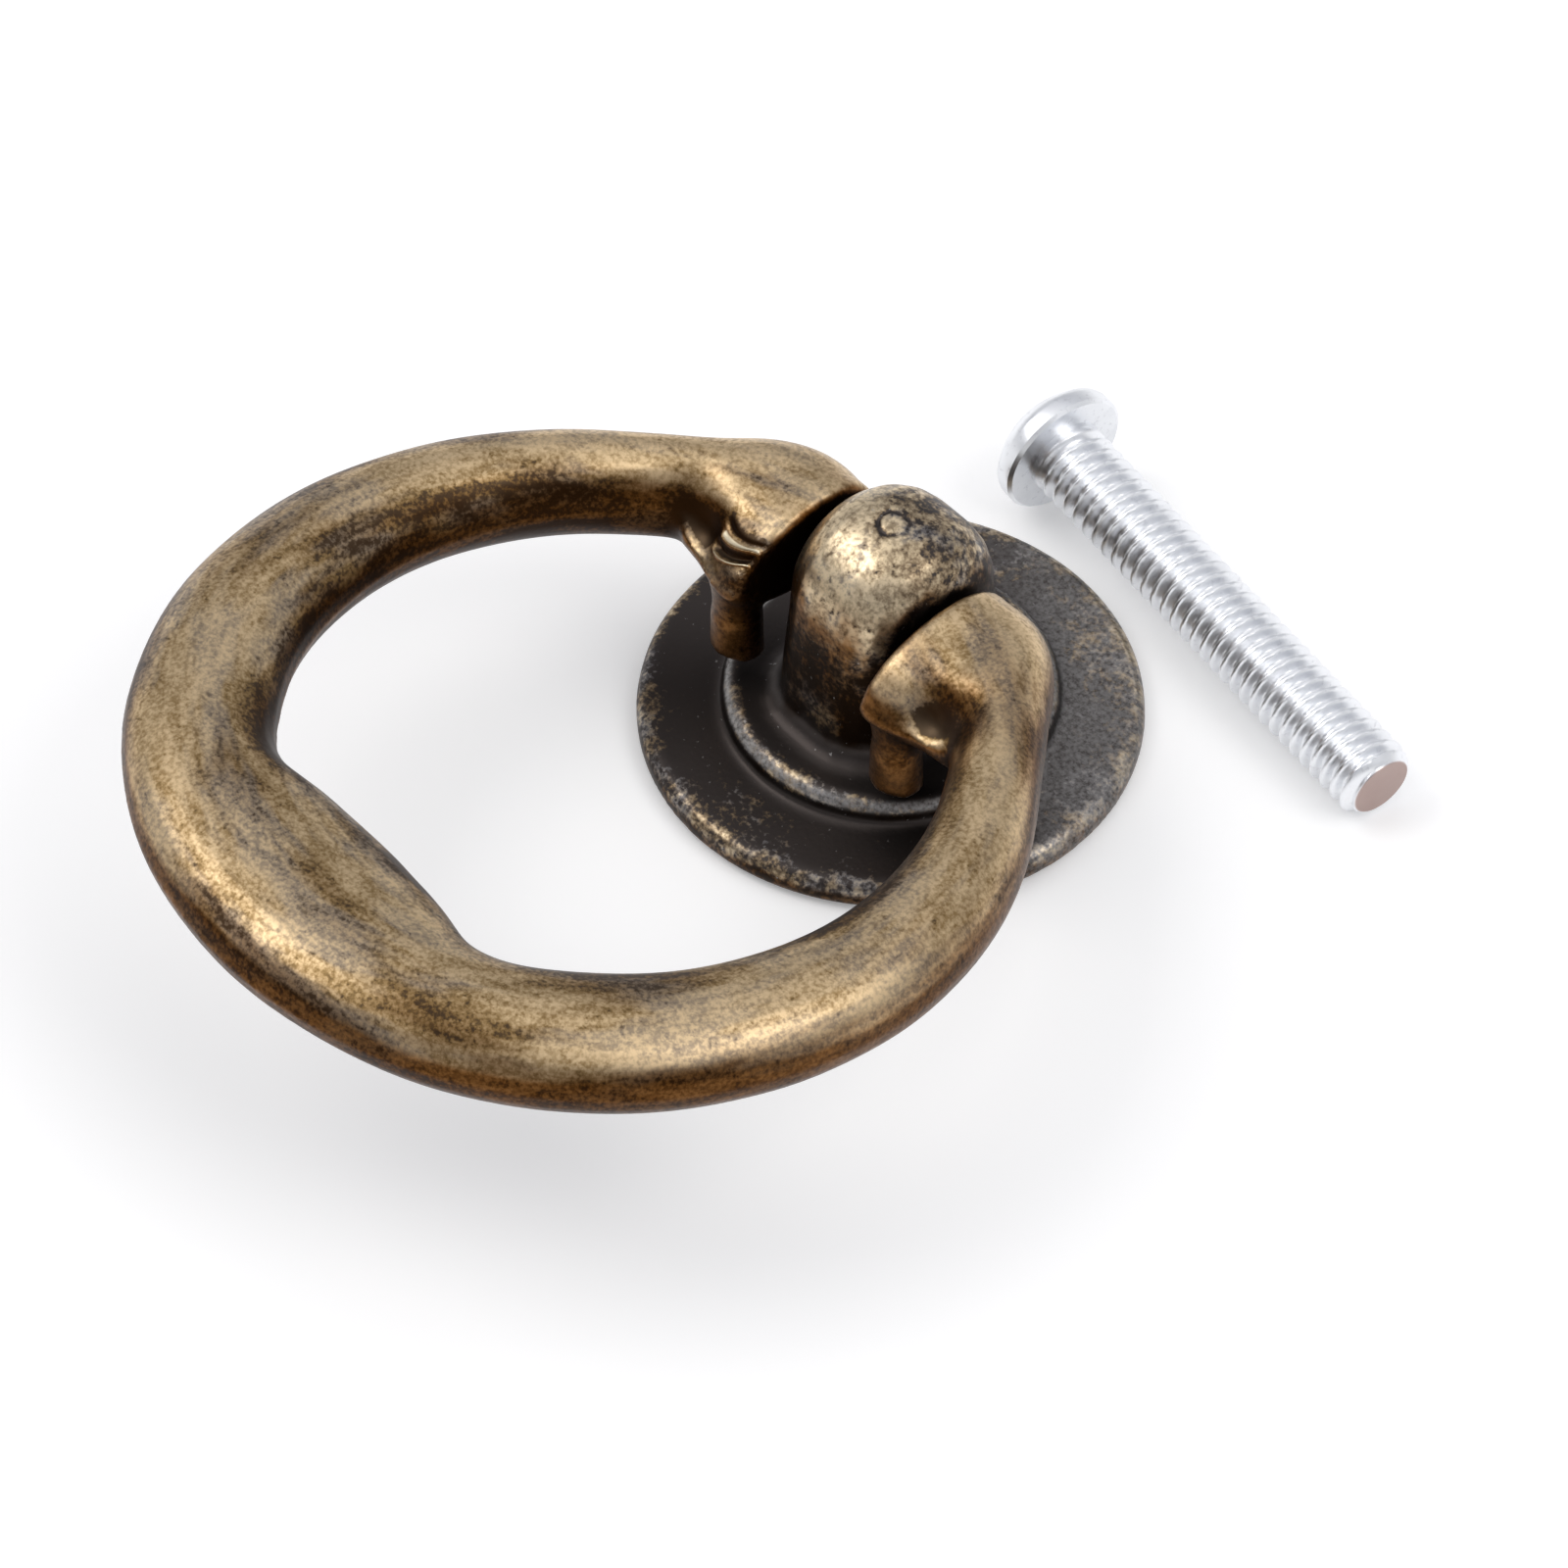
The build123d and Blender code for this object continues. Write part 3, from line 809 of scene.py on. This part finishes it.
def aged_brass(name, gold, brown, grey, black, wear_and_light_values, amounts):
    """Aged brass, with the share of gold set by the wear measures with painted shade and highlights, and
    broken up by speckle.
    """
    material = bpy.data.materials.new(name)
    material.use_nodes = True
    tree = material.node_tree
    tree.nodes.clear()
    place = add_node(tree, "ShaderNodeTexCoord").outputs["Object"]
    flow = stored(tree, "flow").outputs["Vector"]

    def less(share, mask, amount):
        """The share of gold after some of it is lost where a mask is 1."""
        return math_node(tree, "MULTIPLY_ADD", mask, -amount, share)

    cloud = clouds(tree, flow, CLOUD_SCALE)
    side_shade_break = ramp(tree, cloud, *CLOUD_SPAN, -SIDE_SHADE_BREAK, SIDE_SHADE_BREAK)
    wear_and_light = add_node(tree, "ShaderNodeGroup", {**wear_and_light_values, "Side Shade Break": side_shade_break}, node_tree=wear_and_light_group)
    patch = ramp(tree, cloud, *CLOUD_SPAN, -amounts["patch"], amounts["patch"])
    share = math_node(tree, "ADD", wear_and_light.outputs["Rubbed And Painted Light"], patch)
    share = math_node(tree, "ADD", share, amounts["bias"])
    share = less(share, wear_and_light.outputs["Shut"], amounts["shut"])
    # Painted shade: faces that turn sideways or down lose gold.
    side = math_node(tree, "SUBTRACT", 1.0, wear_and_light.outputs["Top"])
    share = less(share, side, amounts["side"])
    # Painted highlight: the share rises this high only on the nick's pale bands.
    pale_cut_and_highlight_mask = ramp(tree, share, *PALE_CUT_AND_HIGHLIGHT_SPAN)
    share = math_node(tree, "MINIMUM", share, MOST_RUBBED)
    spots = (
        # Where the noise lies, its scale, its cover, the softness of its edges, the gold it takes away
        (flow, STREAK_SCALE, 0.5, 0.1, amounts["streak"]),
        (place, amounts["fine scale"], 0.5, 0.12, amounts["fine"]),
        (place, SPECK_SCALE, 0.37, 0.06, amounts["specks"]),
    )
    for vector, scale, cover, edge, amount in spots:
        share = less(share, speckle(tree, vector, scale, cover, edge * amounts["soft"]), amount)
    gold_mask = ramp(tree, share, *GOLD_SPAN)
    black_mask = ramp(tree, share, *BLACK_SPAN, 1.0, 0.0)
    half_worn = mix_colour(tree, speckle(tree, flow, TINGE_SCALE, cover=0.47, soft=0.08), brown, grey)
    colour = mix_colour(tree, gold_mask, half_worn, gold)
    colour = mix_colour(tree, black_mask, colour, black)
    # Painted shade: sideways and downward faces are tinted dark reddish brown.
    painted_side_shade = mix_colour(tree, wear_and_light.outputs["Top"], PAINTED_SIDE_SHADE, PLAIN)
    colour = mix_colour(tree, 1.0, colour, painted_side_shade, "MULTIPLY")
    colour = mix_colour(tree, pale_cut_and_highlight_mask, colour, PALE_CUT_AND_HIGHLIGHT)
    # Dust, and the painted sheen on the base's step edge.
    settled_dust_and_sheen = stored(tree, "dust_and_sheen").outputs["Fac"]
    powder = speckle(tree, place, DUST_AND_SHEEN_SCALE, cover=0.55, soft=0.3)
    settled_dust_and_sheen = math_node(tree, "MULTIPLY", powder, settled_dust_and_sheen)
    grit = speckle(tree, place, GRIT_SCALE, cover=0.29, soft=0.03)
    grit = math_node(tree, "MULTIPLY", grit, amounts["dust_and_sheen"])
    colour = mix_colour(tree, math_node(tree, "MAXIMUM", grit, settled_dust_and_sheen), colour, DUST_AND_SHEEN)
    rough = ramp(tree, share, *ROUGH_SPAN, amounts["black rough"], amounts["gold rough"])
    pits = clouds(tree, place, PIT_SCALE)
    bump = add_node(tree, "ShaderNodeBump", {"Strength": 0.25, "Distance": PIT_DEPTH, "Height": pits})
    shader = add_node(
        tree,
        "ShaderNodeBsdfPrincipled",
        {"Base Color": colour, "Roughness": rough, "Metallic": 1.0, "Normal": bump.outputs["Normal"]},
    )
    add_node(tree, "ShaderNodeOutputMaterial", {"Surface": shader.outputs[0]})
    return material


ring_brass = aged_brass(
    "ring_brass",
    gold=(0.69, 0.515, 0.305, 1),
    brown=(0.25, 0.16, 0.065, 1),
    grey=(0.25, 0.2, 0.15, 1),
    black=(0.085, 0.058, 0.036, 1),
    wear_and_light_values={
        "Crest Gain": 2.5,
        "Edge Gain": 3.0,
        "Hollow Loss": 0.9,
        "Open Low": 0.3,
        "Open High": 0.8,
        "Side Shade Low": 0.36,
        "Side Shade High": 1.0,
    },
    amounts={
        "bias": 0.6,
        "patch": 0.22,
        "shut": 0.7,
        # The side amount is painted shade on sideways faces.
        "side": 0.45,
        "streak": 0.42,
        "fine": 0.6,
        "fine scale": 4400.0,
        "specks": 0.35,
        "soft": 1.4,
        "dust_and_sheen": 0.0,
        "black rough": 0.42,
        "gold rough": 0.34,
    },
)
base_brass = aged_brass(
    "base_brass",
    gold=(0.78, 0.63, 0.42, 1),
    brown=(0.2, 0.145, 0.09, 1),
    grey=(0.17, 0.16, 0.16, 1),
    black=(0.052, 0.044, 0.041, 1),
    wear_and_light_values={
        "Crest Gain": 2.0,
        "Edge Gain": 14.0,
        "Hollow Loss": 0.4,
        "Open Low": 0.3,
        "Open High": 0.8,
        "Side Shade Low": 0.05,
        "Side Shade High": 0.6,
    },
    amounts={
        "bias": 0.4,
        "patch": 0.3,
        "shut": 0.8,
        # The side amount is painted shade on sideways faces.
        "side": 0.1,
        "streak": 0.45,
        "fine": 0.65,
        "fine scale": 3600.0,
        "specks": 0.6,
        "soft": 1.4,
        "dust_and_sheen": 0.5,
        "black rough": 0.42,
        "gold rough": 0.3,
    },
)


def add_piece(mesh, name, material, body, node_name):
    """A finished piece, riding on its body and standing for its CAD node."""
    mesh.materials.clear()
    mesh.materials.append(material)
    piece = bpy.data.objects.new(name, mesh)
    scene.collection.objects.link(piece)
    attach(piece, body)
    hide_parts(node_name)
    return piece


ring_mesh.shade_smooth()
base_mesh.shade_smooth()
add_piece(ring_mesh, "cast_ring", ring_brass, "ring", "ring")
add_piece(base_mesh, "cast_base", base_brass, "base", "base")

# %% [markdown]
# ## Screw
# The loose screw is bright zinc. Its thread is the one shape here that follows a plain rule, a groove
# that climbs one pitch for each turn, so Geometry Nodes roll a flat grid into the shank and press the
# groove into it. The sizes are named inputs of the tree.


# %% Thread tree
FLANK_SPAN = (0.12, 0.85)
THREAD_WELD = 0.001


def thread_tree():
    """Geometry nodes that roll a grid into a threaded shank with a chamfered tip."""
    tree = bpy.data.node_groups.new("screw_thread", "GeometryNodeTree")
    tree.interface.new_socket("Geometry", in_out="OUTPUT", socket_type="NodeSocketGeometry")
    for name in ("Length", "Radius", "Pitch", "Depth", "Chamfer", "Runout"):
        tree.interface.new_socket(name, in_out="INPUT", socket_type=FLOAT)
    for name in ("Sides", "Rows"):
        tree.interface.new_socket(name, in_out="INPUT", socket_type="NodeSocketInt")
    tree.interface.new_socket("Material", in_out="INPUT", socket_type="NodeSocketMaterial")
    given = tree.nodes.new("NodeGroupInput").outputs
    columns = math_node(tree, "ADD", given["Sides"], 1.0)
    grid = add_node(
        tree,
        "GeometryNodeMeshGrid",
        {"Size X": 1.0, "Size Y": 1.0, "Vertices X": columns, "Vertices Y": given["Rows"]},
    )
    position = tree.nodes.new("GeometryNodeInputPosition").outputs[0]
    place = add_node(tree, "ShaderNodeSeparateXYZ", {0: position})
    turn = math_node(tree, "ADD", place.outputs["X"], 0.5)
    angle = math_node(tree, "MULTIPLY", turn, 2 * math.pi)
    along = math_node(tree, "MULTIPLY", math_node(tree, "ADD", place.outputs["Y"], 0.5), given["Length"])
    turns = math_node(tree, "SUBTRACT", math_node(tree, "DIVIDE", along, given["Pitch"]), turn)
    phase = math_node(tree, "FRACT", turns)
    flank = math_node(tree, "ABSOLUTE", math_node(tree, "MULTIPLY_ADD", phase, 2.0, -1.0))
    groove = ramp(tree, flank, *FLANK_SPAN)
    begun = ramp(tree, along, 0.0, given["Runout"])
    cut = math_node(tree, "MULTIPLY", math_node(tree, "MULTIPLY", groove, begun), given["Depth"])
    radius = math_node(tree, "SUBTRACT", given["Radius"], cut)
    tip_radius = math_node(tree, "SUBTRACT", given["Radius"], given["Chamfer"])
    tip_limit = math_node(tree, "ADD", tip_radius, math_node(tree, "SUBTRACT", given["Length"], along))
    radius = math_node(tree, "MINIMUM", radius, tip_limit)
    rolled = add_node(
        tree,
        "ShaderNodeCombineXYZ",
        {
            "X": math_node(tree, "MULTIPLY", radius, math_node(tree, "COSINE", angle)),
            "Y": math_node(tree, "MULTIPLY", radius, math_node(tree, "SINE", angle)),
            "Z": math_node(tree, "MULTIPLY", along, -1.0),
        },
    )
    shank = add_node(
        tree, "GeometryNodeSetPosition", {"Geometry": grid.outputs["Mesh"], "Position": rolled.outputs[0]}
    )
    joined = add_node(
        tree, "GeometryNodeMergeByDistance", {"Geometry": shank.outputs[0], "Distance": THREAD_WELD}
    )
    real = add_node(tree, "GeometryNodeRealizeInstances", {"Geometry": joined.outputs[0]})
    painted = add_node(
        tree, "GeometryNodeSetMaterial", {"Geometry": real.outputs[0], "Material": given["Material"]}
    )
    tree.links.new(painted.outputs[0], tree.nodes.new("NodeGroupOutput").inputs[0])
    return tree


# %% Zinc
ZINC = (0.86, 0.875, 0.9, 1)
ZINC_DULL = (0.72, 0.73, 0.76, 1)
BARE_END = (0.44, 0.33, 0.3, 1)
ZINC_ROUGH = (0.28, 0.4)
FILM_SCALE = 700.0
FILM_SPAN = (0.5, 0.8)
FILM_SHARE = 0.4
SPOT_SCALE = 2600.0

zinc = bpy.data.materials.new("bright_zinc")
zinc.use_nodes = True
tree = zinc.node_tree
tree.nodes.clear()
zinc_place = add_node(tree, "ShaderNodeTexCoord").outputs["Object"]
zinc_film = clouds(tree, zinc_place, FILM_SCALE)
zinc_spots = speckle(tree, zinc_place, SPOT_SCALE, cover=0.36, soft=0.08)
zinc_dull = math_node(tree, "MAXIMUM", zinc_spots, ramp(tree, zinc_film, *FILM_SPAN, 0.0, FILM_SHARE))
zinc_colour = mix_colour(tree, zinc_dull, ZINC, ZINC_DULL)
zinc_colour = mix_colour(tree, stored(tree, "bare").outputs["Fac"], zinc_colour, BARE_END)
zinc_shader = add_node(
    tree,
    "ShaderNodeBsdfPrincipled",
    {
        "Base Color": zinc_colour,
        "Roughness": ramp(tree, zinc_film, *CLOUD_SPAN, *ZINC_ROUGH),
        "Metallic": 1.0,
    },
)
add_node(tree, "ShaderNodeOutputMaterial", {"Surface": zinc_shader.outputs[0]})

# %% Shank
INCH = 25.4
SCREW_RADIUS = 2.085
SCREW_LENGTH = INCH
SCREW_SIDES = 56
THREAD_PITCH = INCH / 32
THREAD_ROWS = 12
THREAD_DEPTH = 0.45
THREAD_RUNOUT = 1.2
TIP_CHAMFER = 0.5

shank_sizes = {
    "Length": SCREW_LENGTH,
    "Radius": SCREW_RADIUS,
    "Pitch": THREAD_PITCH,
    "Depth": THREAD_DEPTH,
    "Chamfer": TIP_CHAMFER,
    "Runout": THREAD_RUNOUT,
    "Sides": SCREW_SIDES,
    "Rows": round(SCREW_LENGTH / THREAD_PITCH * THREAD_ROWS) + 1,
    "Material": zinc,
}


def set_up_shank(thing):
    """Adds the thread tree and hands it the sizes."""
    modifier = thing.modifiers.new("thread", "NODES")
    modifier.node_group = thread_tree()
    for socket in modifier.node_group.interface.items_tree:
        if socket.in_out == "INPUT":
            modifier[socket.identifier] = shank_sizes[socket.name]


shank_mesh = evaluated(bpy.data.meshes.new("shank"), "shank", set_up_shank)
print("shank points", len(shank_mesh.vertices))

# %% [markdown]
# The pan head is turned from a profile, and a cross recess is cut into it. Shank and head are welded
# into one closed skin, which lies on the floor on the head's rim and the tip. The tip's cut end is bare.

# %% Head
HEAD_RADIUS = 3.5
HEAD_HEIGHT = 2.6
HEAD_RIM = 1.0
RIM_ROUND = 0.18
RECESS_DEPTH = 1.5
RECESS_ABOVE = 0.3
RECESS_MOUTH = (2.1, 0.55)
RECESS_END = (0.7, 0.36)
CROWN_SHARES = (0.97, 0.9, 0.8, 0.65, 0.5, 0.35, 0.2, 0.1, 0)


def turned(profile, sides, name):
    """A closed shape turned about Z from a profile that starts and ends on the axis."""
    work = bmesh.new()
    rings = []
    for radius, height in profile:
        if radius == 0:
            rings.append([work.verts.new((0, 0, height))])
            continue
        angles = [2 * math.pi * side / sides for side in range(sides)]
        rings.append([work.verts.new((radius * math.cos(a), radius * math.sin(a), height)) for a in angles])
    for lower, upper in zip(rings, rings[1:]):
        for side in range(sides):
            following = (side + 1) % sides
            corners = [lower[side % len(lower)], lower[following % len(lower)]]
            corners += [upper[following % len(upper)], upper[side % len(upper)]]
            work.faces.new(list(dict.fromkeys(corners)))
    bmesh.ops.recalc_face_normals(work, faces=work.faces)
    mesh = bpy.data.meshes.new(name)
    work.to_mesh(mesh)
    work.free()
    return mesh


crown = HEAD_HEIGHT - HEAD_RIM
ball_radius = (HEAD_RADIUS**2 + crown**2) / (2 * crown)
head_profile = [(0, 0), (SCREW_RADIUS, 0), (HEAD_RADIUS - RIM_ROUND, 0), (HEAD_RADIUS, RIM_ROUND)]
head_profile.append((HEAD_RADIUS, HEAD_RIM - RIM_ROUND))
for share in CROWN_SHARES:
    radius = HEAD_RADIUS * share
    head_profile.append((radius, HEAD_HEIGHT - ball_radius + math.sqrt(ball_radius**2 - radius**2)))
head_mesh = turned(head_profile, SCREW_SIDES, "head")


def recess_cutter():
    """A cross with tapered arms, standing in the crown of the head."""
    work = bmesh.new()
    mouth = (*RECESS_MOUTH, HEAD_HEIGHT + RECESS_ABOVE)
    end = (*RECESS_END, HEAD_HEIGHT - RECESS_DEPTH)
    for crosswise in (False, True):
        corners = []
        for long, wide, height in (end, mouth):
            for x, y in ((-long, -wide), (long, -wide), (long, wide), (-long, wide)):
                corners.append(work.verts.new((y, x, height) if crosswise else (x, y, height)))
        for face in ((0, 1, 2, 3), (4, 5, 6, 7), (0, 1, 5, 4), (1, 2, 6, 5), (2, 3, 7, 6), (3, 0, 4, 7)):
            work.faces.new([corners[index] for index in face])
    bmesh.ops.recalc_face_normals(work, faces=work.faces)
    mesh = bpy.data.meshes.new("recess")
    work.to_mesh(mesh)
    work.free()
    return mesh


cutter = bpy.data.objects.new("recess", recess_cutter())
scene.collection.objects.link(cutter)


def set_up_recess(thing):
    """Cuts the recess."""
    cut = thing.modifiers.new("recess", "BOOLEAN")
    cut.operation = "DIFFERENCE"
    cut.solver = "EXACT"
    cut.use_self = True
    cut.object = cutter


head_mesh = evaluated(head_mesh, "head", set_up_recess)
bpy.data.objects.remove(cutter)
print("head faces", len(head_mesh.polygons))

# %% Screw in place
SCREW_PLACE = (-4.75, 16.0)
SCREW_HEADING = -5.5
BARE_FROM = 0.02
CORNER_ANGLE = 35


def inside_joint(place):
    """Whether a point lies on the disc where the shank meets the head."""
    return abs(place.z) < WELD and math.hypot(place.x, place.y) < SCREW_RADIUS + WELD


screw_work = bmesh.new()
screw_work.from_mesh(shank_mesh)
open_edges = [edge for edge in screw_work.edges if edge.is_boundary]
tip_edges = [edge for edge in open_edges if edge.verts[0].co.z < -SCREW_LENGTH / 2]
bmesh.ops.holes_fill(screw_work, edges=tip_edges, sides=0)
screw_work.from_mesh(head_mesh)
under_head = [face for face in screw_work.faces if all(inside_joint(corner.co) for corner in face.verts)]
bmesh.ops.delete(screw_work, geom=under_head, context="FACES")
bmesh.ops.remove_doubles(screw_work, verts=screw_work.verts, dist=WELD)
bmesh.ops.recalc_face_normals(screw_work, faces=screw_work.faces)
for face in screw_work.faces:
    face.smooth = True
screw_mesh = bpy.data.meshes.new("machine_screw")
screw_work.to_mesh(screw_mesh)
screw_work.free()
screw_mesh.set_sharp_from_angle(angle=math.radians(CORNER_ANGLE))
store(screw_mesh, "bare", (points_of(screw_mesh)[:, 2] < BARE_FROM - SCREW_LENGTH).astype(float))
sink = math.atan2(HEAD_RADIUS - SCREW_RADIUS, SCREW_LENGTH - TIP_CHAMFER)
lie_down = Matrix.Translation((*SCREW_PLACE, HEAD_RADIUS * math.cos(sink)))
lie_down = lie_down @ Matrix.Rotation(math.radians(SCREW_HEADING), 4, "Z")
lie_down = lie_down @ Matrix.Rotation(sink - math.radians(90), 4, "Y")
screw_mesh.transform(Matrix.Scale(MM, 4) @ lie_down)
add_piece(screw_mesh, "machine_screw", zinc, "base", "mounting_screw")
print("screw points", len(screw_mesh.vertices))
